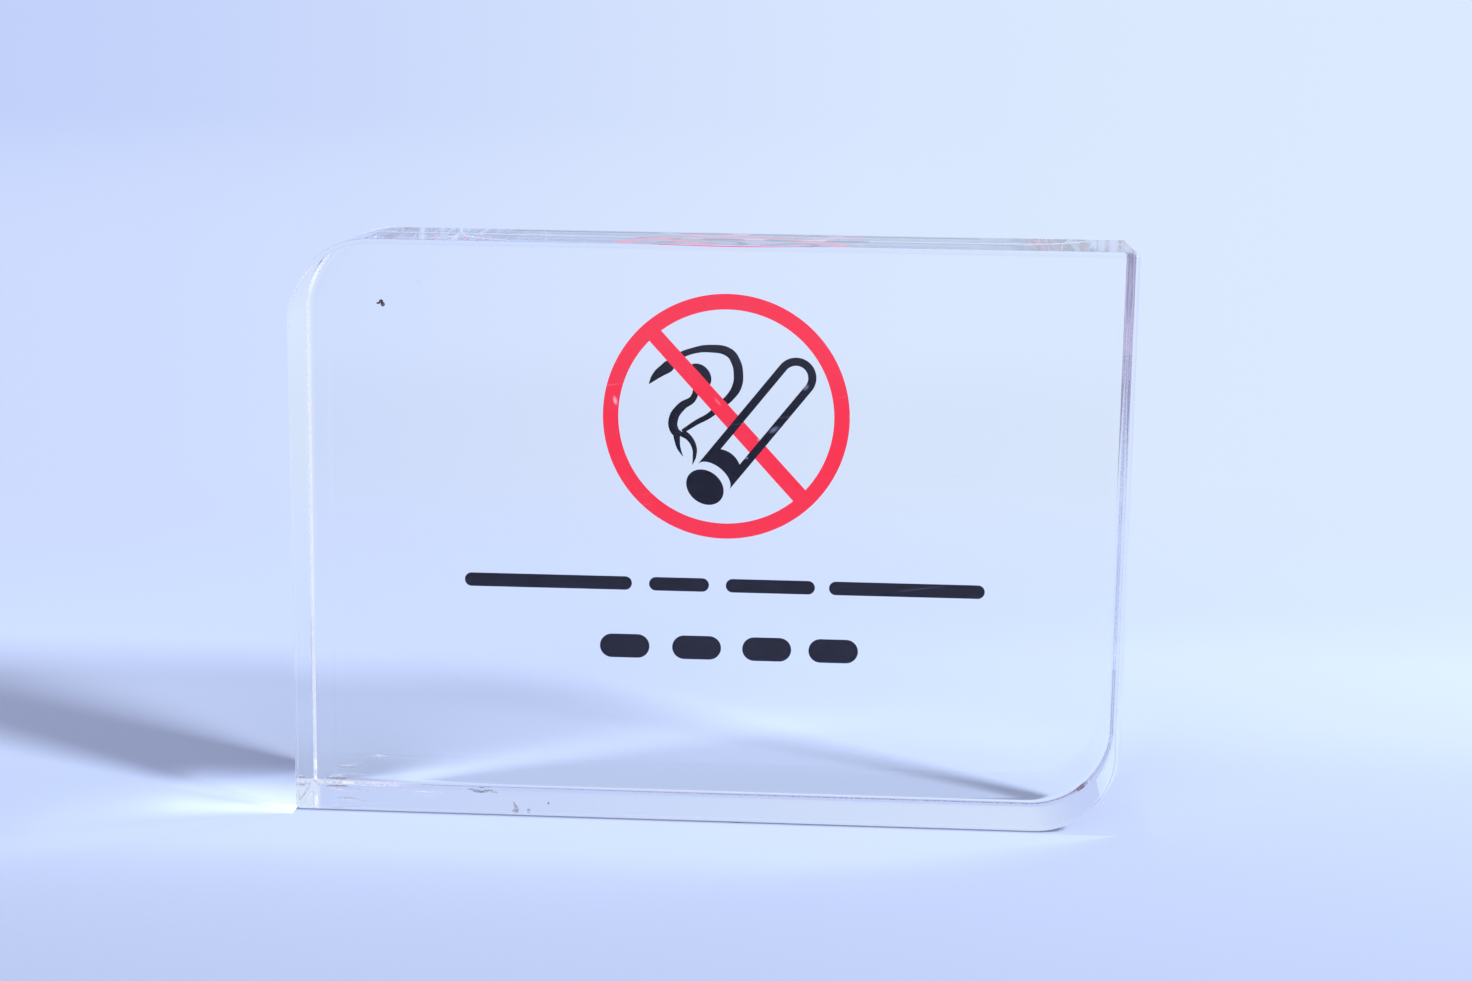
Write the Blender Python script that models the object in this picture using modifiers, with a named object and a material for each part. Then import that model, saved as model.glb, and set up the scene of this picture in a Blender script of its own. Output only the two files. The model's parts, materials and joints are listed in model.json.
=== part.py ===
"""A freestanding guest room sign: one thick block of clear cast acrylic, polished on every face.

The block stands on its long lower edge. Seen from the front, its upper left and lower right corners
are rounded and the other two are square. A narrow polished bevel breaks every edge where two faces
meet, and it runs on round the two arcs. Metres, +Z up. The origin is on the table, under the middle
of the block. The sign is read from -Y, through the thickness, and +Y is the back face.
"""

import math

import bmesh
import bpy
from mathutils import Matrix

WIDTH = 0.100
HEIGHT = 0.070
THICKNESS = 0.018
CORNER_RADIUS = 0.010
EDGE_BREAK = 0.0004

CORNER_SEGMENTS = 36
SHARP_ANGLE = math.radians(30)

PARTS = "guest_room_sign"
BLOCK = "acrylic_block"


def clear_scene():
    for obj in list(bpy.data.objects):
        bpy.data.objects.remove(obj, do_unlink=True)


def parts_collection():
    collection = bpy.data.collections.new(PARTS)
    bpy.context.scene.collection.children.link(collection)
    return collection


def clear_acrylic():
    """Water-clear cast acrylic: it lets nearly all light through, with a cool cast along its length."""
    material = bpy.data.materials.new("clear_acrylic")
    material.use_nodes = True
    shader = material.node_tree.nodes["Principled BSDF"]
    shader.inputs["Base Color"].default_value = (0.93, 0.96, 1.0, 1.0)
    shader.inputs["Metallic"].default_value = 0.0
    shader.inputs["Roughness"].default_value = 0.02
    shader.inputs["IOR"].default_value = 1.49
    shader.inputs["Transmission Weight"].default_value = 1.0
    return material


def is_rounded_corner(edge):
    """True on the two edges through the thickness that are rounded: upper left and lower right."""
    start, end = (vert.co for vert in edge.verts)
    runs_through = abs(start.y - end.y) > THICKNESS / 2
    return runs_through and start.x * start.z < 0


def block_mesh():
    """The sawn blank, with the two corners that are to be rounded marked by their bevel weight."""
    shape = bmesh.new()
    bmesh.ops.create_cube(shape, size=1.0, matrix=Matrix.Diagonal((WIDTH, THICKNESS, HEIGHT, 1.0)))
    weight = shape.edges.layers.float.new("bevel_weight_edge")
    for edge in shape.edges:
        edge[weight] = float(is_rounded_corner(edge))
    mesh = bpy.data.meshes.new(BLOCK)
    shape.to_mesh(mesh)
    shape.free()
    return mesh


def round_corners(block):
    bevel = block.modifiers.new("rounded_corners", "BEVEL")
    bevel.limit_method = "WEIGHT"
    bevel.width = CORNER_RADIUS
    bevel.segments = CORNER_SEGMENTS


def break_edges(block):
    bevel = block.modifiers.new("edge_break", "BEVEL")
    bevel.limit_method = "ANGLE"
    bevel.angle_limit = SHARP_ANGLE
    bevel.width = EDGE_BREAK
    bevel.segments = 1


def acrylic_block(collection):
    block = bpy.data.objects.new(BLOCK, block_mesh())
    block.location.z = HEIGHT / 2
    collection.objects.link(block)
    round_corners(block)
    break_edges(block)
    block.data.materials.append(clear_acrylic())
    return block


def main():
    clear_scene()
    acrylic_block(parts_collection())


main()
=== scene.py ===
# %% [markdown]
# # A guest room sign in clear acrylic
#
# This lesson dresses one small object: a thick block of clear cast acrylic that stands on a table, with a
# no-smoking symbol printed on its back face and read through the block. The block's size and place come
# from a imported model, the frame. Everything else is made here: the polish, the ink, the little dirt on it,
# the light and the camera.
#
# The frame comes first.

# %% Load the frame
import json
import math

import bpy
from mathutils import Matrix, Vector

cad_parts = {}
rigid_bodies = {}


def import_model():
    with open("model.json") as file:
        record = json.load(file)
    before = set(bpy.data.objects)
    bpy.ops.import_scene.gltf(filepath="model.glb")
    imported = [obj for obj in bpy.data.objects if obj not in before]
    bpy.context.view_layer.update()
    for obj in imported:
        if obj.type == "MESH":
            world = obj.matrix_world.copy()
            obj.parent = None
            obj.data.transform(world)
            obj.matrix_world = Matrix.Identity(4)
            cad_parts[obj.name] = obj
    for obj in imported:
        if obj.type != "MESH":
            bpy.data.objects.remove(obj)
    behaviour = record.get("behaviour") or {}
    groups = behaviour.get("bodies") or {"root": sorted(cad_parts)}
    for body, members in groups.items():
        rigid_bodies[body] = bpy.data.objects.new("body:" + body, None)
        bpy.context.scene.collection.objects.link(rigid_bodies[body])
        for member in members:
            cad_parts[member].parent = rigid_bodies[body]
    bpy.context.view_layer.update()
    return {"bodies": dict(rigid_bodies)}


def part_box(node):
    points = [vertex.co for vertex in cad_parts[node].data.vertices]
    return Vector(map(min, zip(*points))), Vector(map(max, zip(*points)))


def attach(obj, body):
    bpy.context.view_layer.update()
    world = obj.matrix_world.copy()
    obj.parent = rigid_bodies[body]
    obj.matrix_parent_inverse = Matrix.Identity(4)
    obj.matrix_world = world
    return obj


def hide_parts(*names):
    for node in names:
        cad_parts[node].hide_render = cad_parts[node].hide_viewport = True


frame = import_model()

MM = 0.001
low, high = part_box("acrylic_block")
print("block from", tuple(round(v / MM, 2) for v in low), "to", tuple(round(v / MM, 2) for v in high), "mm")

# %% [markdown]
# ## The camera
#
# The photograph looks a little down on the sign, from slightly right of its middle. The place and the turn of
# the camera were worked out from the sign's own edges: the eight corners, where they appear both directly and
# refracted through the block. The lens follows from the same fit.

# %% Camera
CAMERA_PLACE = Vector((20.1, -300.9, 95.5)) * MM
TURN_LEFT = math.radians(3.24)
LOOK_DOWN = math.radians(10.55)
ROLL = math.radians(0.79)
LENS = 61.47

level_aim = Vector((-math.sin(TURN_LEFT), math.cos(TURN_LEFT), 0))
aim = level_aim * math.cos(LOOK_DOWN) - Vector((0, 0, math.sin(LOOK_DOWN)))
level_right = Vector((math.cos(TURN_LEFT), math.sin(TURN_LEFT), 0))
level_up = level_right.cross(aim)
right = math.cos(ROLL) * level_right + math.sin(ROLL) * level_up
up = -math.sin(ROLL) * level_right + math.cos(ROLL) * level_up

bpy.ops.object.camera_add()
camera = bpy.context.object
camera.matrix_world = Matrix.Translation(CAMERA_PLACE) @ Matrix((right, up, -aim)).transposed().to_4x4()
camera.data.sensor_width = 36
camera.data.lens = LENS
camera.data.clip_start = 10 * MM
bpy.context.scene.camera = camera
print("camera", tuple(round(v / MM, 1) for v in CAMERA_PLACE), "mm, lens", LENS)

# %% [markdown]
# ## The block
#
# On the real sign this is a slab sawn from 18 mm cast acrylic. Two opposite corners are routed round and
# every face is buffed to a polish. The wheel also rounds each edge, by a little under a millimetre, so that
# it doesn't chip or cut.
#
# It could be a cube with a live Bevel modifier. Bevelling by hand in edit mode shows the order of the real
# work better: first the two corners that the router takes, then all the sharp edges that are left, round the
# new arcs too. The two corners are found by their place: they are the edges that run through the thickness
# where x and z, seen from the block's middle, have opposite signs.
#
# The rounding is small but it shows: each rounded edge is a tiny lens that squeezes the room, and the print
# too, into a thin line. Weighted normals keep the large faces flat right up to it, because in clear glass a
# bent normal shows at once.

# %% Helpers for edit mode
def select_only(piece):
    bpy.ops.object.select_all(action="DESELECT")
    piece.select_set(True)
    bpy.context.view_layer.objects.active = piece


def edit(piece, kind="FACE"):
    """Opens a piece in edit mode with nothing selected on it."""
    select_only(piece)
    bpy.ops.object.mode_set(mode="EDIT")
    bpy.ops.mesh.select_mode(type=kind)
    bpy.ops.mesh.select_all(action="DESELECT")


def select_where(piece, part, test):
    """Selects the vertices, edges or faces that pass a test, and goes on in edit mode."""
    bpy.ops.object.mode_set(mode="OBJECT")
    for item in getattr(piece.data, part):
        item.select = test(item)
    bpy.ops.object.mode_set(mode="EDIT")


def round_edges(piece, test, radius, segments):
    """Bevels the edges whose two end points pass a test."""
    edit(piece, "EDGE")
    select_where(piece, "edges", lambda edge: test(*(piece.data.vertices[i].co for i in edge.vertices)))
    bpy.ops.mesh.bevel(offset=radius, segments=segments, affect="EDGES")
    bpy.ops.object.mode_set(mode="OBJECT")


def place_in_mesh(piece, name):
    """Moves the object's place into its mesh, so that the object itself sits at the origin, unturned."""
    select_only(piece)
    bpy.ops.object.transform_apply(location=True, rotation=True, scale=True)
    piece.name = name
    piece.data.name = name


def apply_modifier(piece, kind, **settings):
    """Adds a modifier to the active piece, sets it and applies it."""
    step = piece.modifiers.new(kind.lower(), kind)
    for option, value in settings.items():
        setattr(step, option, value)
    bpy.ops.object.modifier_apply(modifier=step.name)


def report(piece):
    size = tuple(round(v / MM, 2) for v in piece.dimensions)
    print(f"{piece.name}: {len(piece.data.polygons)} faces, {size} mm")


# %% The polished block
CORNER_RADIUS = 10 * MM
EDGE_RADIUS = 0.7 * MM
CORNER_SEGMENTS = 64
EDGE_SEGMENTS = 6

size = high - low
middle = (low + high) / 2

bpy.ops.object.select_all(action="DESELECT")
bpy.ops.mesh.primitive_cube_add(size=1, location=middle, scale=size)
block = bpy.context.object
place_in_mesh(block, "polished_block")


def is_routed_corner(start, end):
    runs_through = abs(start.y - end.y) > size.y / 2
    seen_from_middle = (start + end) / 2 - middle
    return runs_through and seen_from_middle.x * seen_from_middle.z < 0


round_edges(block, is_routed_corner, CORNER_RADIUS, CORNER_SEGMENTS)
edit(block, "EDGE")
bpy.ops.mesh.edges_select_sharp(sharpness=math.radians(60))
bpy.ops.mesh.bevel(offset=EDGE_RADIUS, segments=EDGE_SEGMENTS, affect="EDGES")
bpy.ops.object.mode_set(mode="OBJECT")
bpy.ops.object.shade_smooth_by_angle(angle=math.radians(30))
apply_modifier(block, "WEIGHTED_NORMAL", weight=100)
report(block)

# %% [markdown]
# ## The red ring and its bar
#
# The print is a film of ink on the back face, a few hundredths of a millimetre thick. Ink wets the acrylic,
# with no air between them, and that shows: the ring can also be seen, squeezed flat, through the top edge of
# the block. A film that only touched the face would leave an air gap there, and the face would mirror like
# silver from that angle. So each film starts just inside the face and ends just outside it.
#
# The ring and the bar are one stencil. It is cut from a disc: the inset leaves the ring's stroke, two bisects
# along the bar's sides divide the inner disc in three, and the two half moons are deleted. What is left is
# pushed out to the thickness of the film.

# %% Film helpers
FILM = 0.04 * MM
PRINT_MIDDLE_X = 1.55 * MM
RING_CENTRE = Vector((PRINT_MIDDLE_X, high.y, 47.9 * MM))


def give_depth(piece, name, depth, way=Vector((0, 1, 0))):
    """Turns a flat shape that lies on a face into a closed solid, half inside the face and half outside."""
    place_in_mesh(piece, name)
    edit(piece)
    bpy.ops.mesh.select_all(action="SELECT")
    bpy.ops.transform.translate(value=way * -depth / 2)
    bpy.ops.mesh.extrude_region_move(TRANSFORM_OT_translate={"value": way * depth})
    bpy.ops.mesh.select_all(action="SELECT")
    bpy.ops.mesh.normals_make_consistent(inside=False)
    bpy.ops.object.mode_set(mode="OBJECT")


def stencil_disc(centre, along, across, turn=0.0, corners=96):
    """A flat disc or ellipse that faces the reader, with its along radius turned up from the x axis."""
    bpy.ops.object.select_all(action="DESELECT")
    bpy.ops.mesh.primitive_circle_add(vertices=corners, radius=1, fill_type="NGON", location=centre)
    disc = bpy.context.object
    disc.scale = (along, across, 1)
    stand_up = Matrix.Rotation(math.pi / 2, 3, "X")
    disc.rotation_euler = (Matrix.Rotation(-turn, 3, "Y") @ stand_up).to_euler()
    return disc


# %% Red ring and bar
RING_RADIUS = 15.16 * MM
RING_STROKE = 1.9 * MM
BAR_WIDTH = 2.0 * MM
BAR_ANGLE = math.radians(-47.3)
BAR_OFFSET = 0.28 * MM

along_bar = Vector((math.cos(BAR_ANGLE), 0, math.sin(BAR_ANGLE)))
across_bar = Vector((-along_bar.z, 0, along_bar.x))
bar_middle = RING_CENTRE + across_bar * BAR_OFFSET


def inside_ring(face):
    return (face.center - RING_CENTRE).length < RING_RADIUS - RING_STROKE


def is_half_moon(face):
    return inside_ring(face) and abs((face.center - bar_middle).dot(across_bar)) > BAR_WIDTH / 2


ring = stencil_disc(RING_CENTRE, RING_RADIUS, RING_RADIUS, corners=192)
place_in_mesh(ring, "red_ring_and_bar")
edit(ring)
bpy.ops.mesh.select_all(action="SELECT")
bpy.ops.mesh.inset(thickness=RING_STROKE)
for side in (-1, 1):
    select_where(ring, "polygons", inside_ring)
    bpy.ops.mesh.bisect(plane_co=bar_middle + across_bar * side * BAR_WIDTH / 2, plane_no=across_bar)
select_where(ring, "polygons", is_half_moon)
bpy.ops.mesh.delete(type="FACE")
bpy.ops.object.mode_set(mode="OBJECT")
give_depth(ring, "red_ring_and_bar", FILM)
report(ring)

# %% [markdown]
# ## The cigarette
#
# A common sign figure: a tube in outline with a filled band, and a filled ellipse for its burning end. On a
# stencil the outline is what is left between an outer and an inner shape, so it is made by cutting. Each
# shape is a slab with two edges of one end bevelled round, and the curved ends of the band are cut by
# ellipses. A boolean keeps the outline exact where they cross, which moving points by hand wouldn't.
#
# The figure is cut lying along x, where its sizes are easy to read, and then turned to its slant.

# %% Cutting helpers
CUTTER_DEPTH = 1.0 * MM
JUST_UNDER = 0.999


def slab_along_x(name, start, end, half_width, depth, low_side=-1.0):
    """A slab in the back face's plane. low_side is where its lower side lies, in half widths."""
    bottom, top = low_side * half_width, half_width
    bpy.ops.object.select_all(action="DESELECT")
    centre = ((start + end) / 2, high.y, (bottom + top) / 2)
    bpy.ops.mesh.primitive_cube_add(size=1, location=centre, scale=(end - start, depth, top - bottom))
    slab = bpy.context.object
    place_in_mesh(slab, name)
    return slab


def round_far_end(slab, end, radius):
    """Bevels the two edges through the slab at its far end until they meet in a half circle."""
    def runs_through_far_end(start, stop):
        return abs(start.y - stop.y) > FILM / 2 and min(start.x, stop.x) > end - FILM
    round_edges(slab, runs_through_far_end, radius * JUST_UNDER, 24)


def carve(piece, other, operation):
    """Cuts a piece by another solid, or unites the two, and removes the other."""
    select_only(piece)
    apply_modifier(piece, "BOOLEAN", operation=operation, object=other)
    bpy.data.objects.remove(other, do_unlink=True)


# %% Cigarette outline and burning end
TUBE_HALF_WIDTH = 2.5 * MM
WINDOW_HALF_WIDTH = 1.5 * MM
CAP_AT = 16.0 * MM
BAND_TOP_AT = 1.65 * MM
BAND_TOP_BULGE = 2.05 * MM
BAND_FOOT_BULGE = 1.4 * MM
BURNING_END_AT = -1.63 * MM
BURNING_END_RADIUS = 2.0 * MM
NOTCH = 0.25 * MM
CIGARETTE_SLANT = math.radians(51.5)
CIGARETTE_FOOT = RING_CENTRE + Vector((-1.48, 0, -7.48)) * MM


def ellipse_cutter(at, along):
    """An ellipse as wide as the tube, which cuts through the film."""
    cutter = stencil_disc((at, high.y, 0), along, TUBE_HALF_WIDTH)
    give_depth(cutter, "cutter", CUTTER_DEPTH)
    return cutter


window_end = CAP_AT + WINDOW_HALF_WIDTH
window = slab_along_x("window", BAND_TOP_AT, window_end, WINDOW_HALF_WIDTH, CUTTER_DEPTH)
round_far_end(window, window_end, WINDOW_HALF_WIDTH)
notch = slab_along_x("notch", CAP_AT - WINDOW_HALF_WIDTH, CAP_AT + NOTCH, WINDOW_HALF_WIDTH, CUTTER_DEPTH, 0)
carve(window, notch, "UNION")
carve(window, ellipse_cutter(BAND_TOP_AT, BAND_TOP_BULGE), "DIFFERENCE")

tube_end = CAP_AT + TUBE_HALF_WIDTH
cigarette = slab_along_x("cigarette_outline", 0, tube_end, TUBE_HALF_WIDTH, FILM)
round_far_end(cigarette, tube_end, TUBE_HALF_WIDTH)
carve(cigarette, window, "DIFFERENCE")
carve(cigarette, ellipse_cutter(0, BAND_FOOT_BULGE), "DIFFERENCE")

burning_end = stencil_disc((BURNING_END_AT, high.y, 0), BURNING_END_RADIUS, TUBE_HALF_WIDTH)
give_depth(burning_end, "burning_end", FILM)

for piece in (cigarette, burning_end):
    piece.rotation_euler = (0, -CIGARETTE_SLANT, 0)
    piece.location = (CIGARETTE_FOOT.x, 0, CIGARETTE_FOOT.z)
    place_in_mesh(piece, piece.name)
    report(piece)

# %% [markdown]
# ## The smoke
#
# Smoke on such a sign is drawn like brush writing: curling strokes that swell and thin out. Tracing both of
# its outlines would take many points. A stroke is simpler as a path with a nib drawn along it. The nib is a
# straight line one unit wide, set as the curve's bevel object, and the radius at each point of the path is
# the stroke's width there. Each row below is a point: right, up, and width, in millimetres from the middle
# of the ring.
#
# The strokes are made a mesh, given the film's depth and united, so that they are one closed outline.

# %% A nib and a stroke
def flat_curve(kind, points):
    """A flat curve through points of (x, y, width), in metres."""
    bpy.ops.object.select_all(action="DESELECT")
    bpy.ops.curve.primitive_bezier_curve_add()
    curve = bpy.context.object
    curve.data.dimensions = "2D"
    curve.data.splines.clear()
    spline = curve.data.splines.new(kind)
    if kind == "POLY":
        spline.points.add(len(points) - 1)
        for point, (x, y, width) in zip(spline.points, points):
            point.co = (x, y, 0, 1)
        return curve
    spline.bezier_points.add(len(points) - 1)
    for point, (x, y, width) in zip(spline.bezier_points, points):
        point.co = (x, y, 0)
        point.radius = width
        point.handle_left_type = "AUTO"
        point.handle_right_type = "AUTO"
    return curve


def stroke(points):
    """A flat stroke in the xy plane, from rows of (right, up, width) in millimetres."""
    nib = flat_curve("POLY", ((-0.5, 0, 1), (0.5, 0, 1)))
    path = flat_curve("BEZIER", [tuple(value * MM for value in row) for row in points])
    path.data.splines[0].resolution_u = 8
    path.data.bevel_mode = "OBJECT"
    path.data.bevel_object = nib
    select_only(path)
    bpy.ops.object.convert(target="MESH")
    bpy.data.objects.remove(nib, do_unlink=True)
    return bpy.context.object


def print_stroke(points):
    """A stroke stood up on the back face as a closed film."""
    line = stroke(points)
    line.rotation_euler = (math.pi / 2, 0, 0)
    line.location = RING_CENTRE
    give_depth(line, "stroke", FILM)
    return line


# %% Smoke strokes
LONG_CURL = (
    (-9.52, 3.91, 0.05), (-9.0, 4.6, 0.7), (-8.36, 5.25, 1.1), (-7.2, 6.1, 1.45), (-6.0, 7.3, 0.8),
    (-4.16, 8.12, 0.75), (-2.06, 8.43, 0.95), (0.28, 7.98, 1.1), (1.1, 6.9, 1.15), (1.44, 5.49, 1.17),
    (1.28, 3.84, 1.17), (0.47, 2.52, 1.0), (-0.55, 1.55, 0.87), (-2.1, 0.16, 0.7), (-3.6, -0.7, 0.63),
    (-5.35, -1.88, 0.5),
)
SHORT_CURL = (
    (-3.7, 4.6, 0.6), (-4.03, 2.32, 0.8), (-5.5, 1.2, 1.05), (-6.47, -0.36, 1.17), (-6.3, -1.78, 1.08),
    (-5.7, -2.29, 0.9),
)
LEFT_PRONG = ((-6.06, -2.02, 0.94), (-5.98, -2.97, 0.7), (-5.78, -3.91, 0.47), (-5.27, -4.95, 0.06))
RIGHT_PRONG = (
    (-5.47, -2.0, 0.94), (-4.52, -2.65, 0.75), (-3.85, -3.87, 0.6), (-3.83, -4.94, 0.45),
    (-4.06, -5.97, 0.06),
)
SWELL_AT = Vector((-3.45, 0, 4.95)) * MM
SWELL_ALONG = 1.75 * MM
SWELL_ACROSS = 1.45 * MM

smoke = print_stroke(LONG_CURL)
for points in (SHORT_CURL, LEFT_PRONG, RIGHT_PRONG):
    carve(smoke, print_stroke(points), "UNION")
swell = stencil_disc(RING_CENTRE + SWELL_AT, SWELL_ALONG, SWELL_ACROSS, turn=BAR_ANGLE)
give_depth(swell, "swell", FILM)
carve(smoke, swell, "UNION")
place_in_mesh(smoke, "smoke_curls")
report(smoke)

# %% [markdown]
# ## Knocking out
#
# Two inks that lie on each other would print muddy, so a printer knocks one out: the lower stencil gets a
# hole in the shape of the upper one, and each ink lies straight on the acrylic. Here the bar passes over the
# smoke and under the cigarette. A knock-out is cut with a copy of the upper shape, made deeper than a film
# so that it cuts clean through.

# %% Knock-outs
def deep_copy(piece):
    """A copy of a film, made deep enough to cut another film with."""
    select_only(piece)
    bpy.ops.object.duplicate()
    copy = bpy.context.object
    edit(copy)
    bpy.ops.mesh.select_all(action="SELECT")
    bpy.ops.transform.resize(value=(1, CUTTER_DEPTH / FILM, 1), center_override=(0, high.y, 0))
    bpy.ops.object.mode_set(mode="OBJECT")
    return copy


carve(smoke, deep_copy(ring), "DIFFERENCE")
carve(ring, deep_copy(cigarette), "DIFFERENCE")
for piece in (smoke, ring):
    report(piece)

# %% [markdown]
# ## The two lines under the symbol
#
# A reusable sign keeps this place free for whoever uses it. Until then it holds what a designer puts in a
# layout: plain bars with round ends, in the same ink, four long ones over four short and thick ones.

# %% Stand-in bars
UPPER_LINE_AT = 26.8 * MM
UPPER_BAR_HEIGHT = 1.7 * MM
UPPER_BARS = ((-32.35, -11.45), (-9.3, -1.85), (0.25, 11.3), (13.05, 32.25))
LOWER_LINE_AT = 18.8 * MM
LOWER_BAR_HEIGHT = 3.0 * MM
LOWER_BARS = ((-15.4, -9.2), (-6.35, -0.25), (2.4, 8.5), (10.65, 16.8))
JUST_UNDER_HALF = 0.499


def stand_in_bar(name, left, right, middle_height, height):
    bpy.ops.object.select_all(action="DESELECT")
    centre = (PRINT_MIDDLE_X + (left + right) / 2, high.y, middle_height)
    bpy.ops.mesh.primitive_cube_add(size=1, location=centre, scale=(right - left, FILM, height))
    bar = bpy.context.object
    place_in_mesh(bar, name)
    round_edges(bar, lambda start, end: abs(start.y - end.y) > FILM / 2, height * JUST_UNDER_HALF, 12)
    return bar


bars = []
for line, spans, at, height in (("upper", UPPER_BARS, UPPER_LINE_AT, UPPER_BAR_HEIGHT),
                                ("lower", LOWER_BARS, LOWER_LINE_AT, LOWER_BAR_HEIGHT)):
    for number, (left, right_end) in enumerate(spans, 1):
        bars.append(stand_in_bar(f"{line}_line_bar_{number}", left * MM, right_end * MM, at, height))
        report(bars[-1])

# %% [markdown]
# ## Dirt
#
# The photographed sign isn't new. A dried speck sits on its front face near the upper left corner, and the
# underside, which slides on tables, has picked up a few smears. Seen from the front, the underside works as
# a mirror, and a smear that touches it shows as a grey mark in that mirror.
#
# Near the lower left corner white streaks are drawn on the faces, on the back just above the foot and
# once underneath.
#
# The speck is three squashed balls grown together by a voxel remesh, with a cloud texture to roughen it. The
# smears and white streaks are strokes again, drawn on their face and given a film's depth.

# %% Dried speck
SPECK_AT = Vector((-38.55, -9.0, 62.5)) * MM
SPECK_LUMPS = ((-0.02, 0.2, 0.25, 0.2), (0.18, -0.16, 0.25, 0.28), (-0.34, -0.03, 0.24, 0.11))
SPECK_HEIGHT = 0.45
SPECK_VOXEL = 0.025 * MM
GRIT_SIZE = 0.12 * MM
GRIT_HEIGHT = 0.08 * MM

lumps = []
for x, z, half_width, half_height in SPECK_LUMPS:
    bpy.ops.object.select_all(action="DESELECT")
    lump_at = SPECK_AT + Vector((x, 0, z)) * MM
    bpy.ops.mesh.primitive_ico_sphere_add(subdivisions=4, radius=1, location=lump_at)
    lump = bpy.context.object
    lump.scale = Vector((half_width, SPECK_HEIGHT * min(half_width, half_height), half_height)) * MM
    place_in_mesh(lump, "lump")
    lumps.append(lump)
for lump in lumps:
    lump.select_set(True)
bpy.ops.object.join()
speck = bpy.context.object
apply_modifier(speck, "REMESH", mode="VOXEL", voxel_size=SPECK_VOXEL)
grit = bpy.data.textures.new("grit", "CLOUDS")
grit.noise_scale = GRIT_SIZE
apply_modifier(speck, "DISPLACE", texture=grit, strength=GRIT_HEIGHT)
bpy.ops.object.shade_smooth()
place_in_mesh(speck, "dried_speck")
report(speck)

# %% Smears on the underside
SMEARS = {
    "dark_smear": (
        ((-30.4, 7.5, 0.3), (-29.5, 6.7, 0.9), (-28.5, 5.4, 1.1), (-27.9, 6.3, 0.9), (-27.3, 6.6, 0.6),
         (-26.9, 5.6, 0.7), (-26.4, 5.0, 0.2)),
        ((-29.0, 8.4, 0.2), (-28.5, 8.0, 0.5), (-27.8, 8.5, 0.2)),
    ),
    "small_smears": (
        ((-23.9, -0.2, 0.15), (-23.5, -2.2, 0.3), (-23.1, -4.9, 0.7), (-23.5, -6.7, 0.5)),
        ((-21.6, -4.2, 0.2), (-21.5, -5.2, 0.45), (-21.3, -6.0, 0.2)),
        ((-19.6, 0.6, 0.1), (-19.5, -0.4, 0.3), (-19.4, -1.4, 0.1)),
    ),
    "faint_smear": (
        ((3.0, -8.2, 0.2), (4.4, -7.9, 0.9), (6.0, -6.9, 0.7), (7.6, -7.4, 0.2)),
    ),
}


def underside_stroke(points):
    """A stroke on the underside as a closed film, half in the face, half under it."""
    line = stroke(points)
    line.location = (0, 0, low.z)
    give_depth(line, "stroke", FILM, Vector((0, 0, 1)))
    return line


smears = []
for name, strokes in SMEARS.items():
    smear = underside_stroke(strokes[0])
    for points in strokes[1:]:
        carve(smear, underside_stroke(points), "UNION")
    place_in_mesh(smear, name)
    smears.append(smear)
    report(smear)

# %% White streaks
UNDERSIDE_STREAKS = (
    ((-38.6, 5.4, 0.2), (-36.6, 4.7, 0.9), (-34.7, 4.4, 1.0), (-33.2, 4.2, 0.2)),
    ((-36.8, 2.6, 0.2), (-35.2, 2.2, 0.6), (-33.6, 2.0, 0.2)),
)
BACK_STREAKS = (
    ((-48.6, 0.6, 0.3), (-46.8, 0.8, 0.9), (-44.8, 1.0, 0.5), (-43.0, 1.1, 0.1)),
    ((-47.6, 2.0, 0.1), (-45.4, 2.3, 0.7), (-43.0, 2.6, 0.1)),
    ((-44.6, 3.2, 0.1), (-42.2, 3.5, 0.6), (-39.6, 3.6, 0.1)),
)


def back_face_stroke(points):
    """A stroke on the back face, from rows of (right, up, width) in the block's own millimetres."""
    from_ring = RING_CENTRE / MM
    return print_stroke([(x - from_ring.x, z - from_ring.z, width) for x, z, width in points])


white_streaks = underside_stroke(UNDERSIDE_STREAKS[0])
carve(white_streaks, underside_stroke(UNDERSIDE_STREAKS[1]), "UNION")
for points in BACK_STREAKS:
    carve(white_streaks, back_face_stroke(points), "UNION")
place_in_mesh(white_streaks, "white_streak_film")
report(white_streaks)

# %% [markdown]
# ## Painted glint and painted reflection in the back edge
#
# Two films on the rounded back edge paint light that the rounding shows. At the left a white film paints the
# bright glint: a white line up the back edge, a white crescent in the routed corner and white patches along
# the foot. At the right end a dark rose film paints the print's reflection, which the rounding squeezes into
# a thin dark rose line.
#
# Both follow the edge exactly, so they are cut from the block itself. A copy keeps only the faces of the
# rounded edge in question, and a Solidify modifier makes a film of them, half inside the surface and half
# outside, as for the ink.

# %% Films in the back edge
def edge_film(name, belongs):
    """A film on those faces of the block's rounded back edge that pass a test."""
    select_only(block)
    bpy.ops.object.duplicate()
    film = bpy.context.object
    edit(film)
    select_where(film, "polygons", lambda face: face.center.y < high.y - EDGE_RADIUS or not belongs(face))
    bpy.ops.mesh.delete(type="FACE")
    bpy.ops.object.mode_set(mode="OBJECT")
    apply_modifier(film, "SOLIDIFY", thickness=FILM, offset=0)
    place_in_mesh(film, name)
    report(film)
    return film


def at_left_or_foot(face):
    at_left = face.center.x < low.x + CORNER_RADIUS
    return 0.1 < face.normal.y < 0.7 and (at_left or face.center.z < low.z + EDGE_RADIUS)


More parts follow.
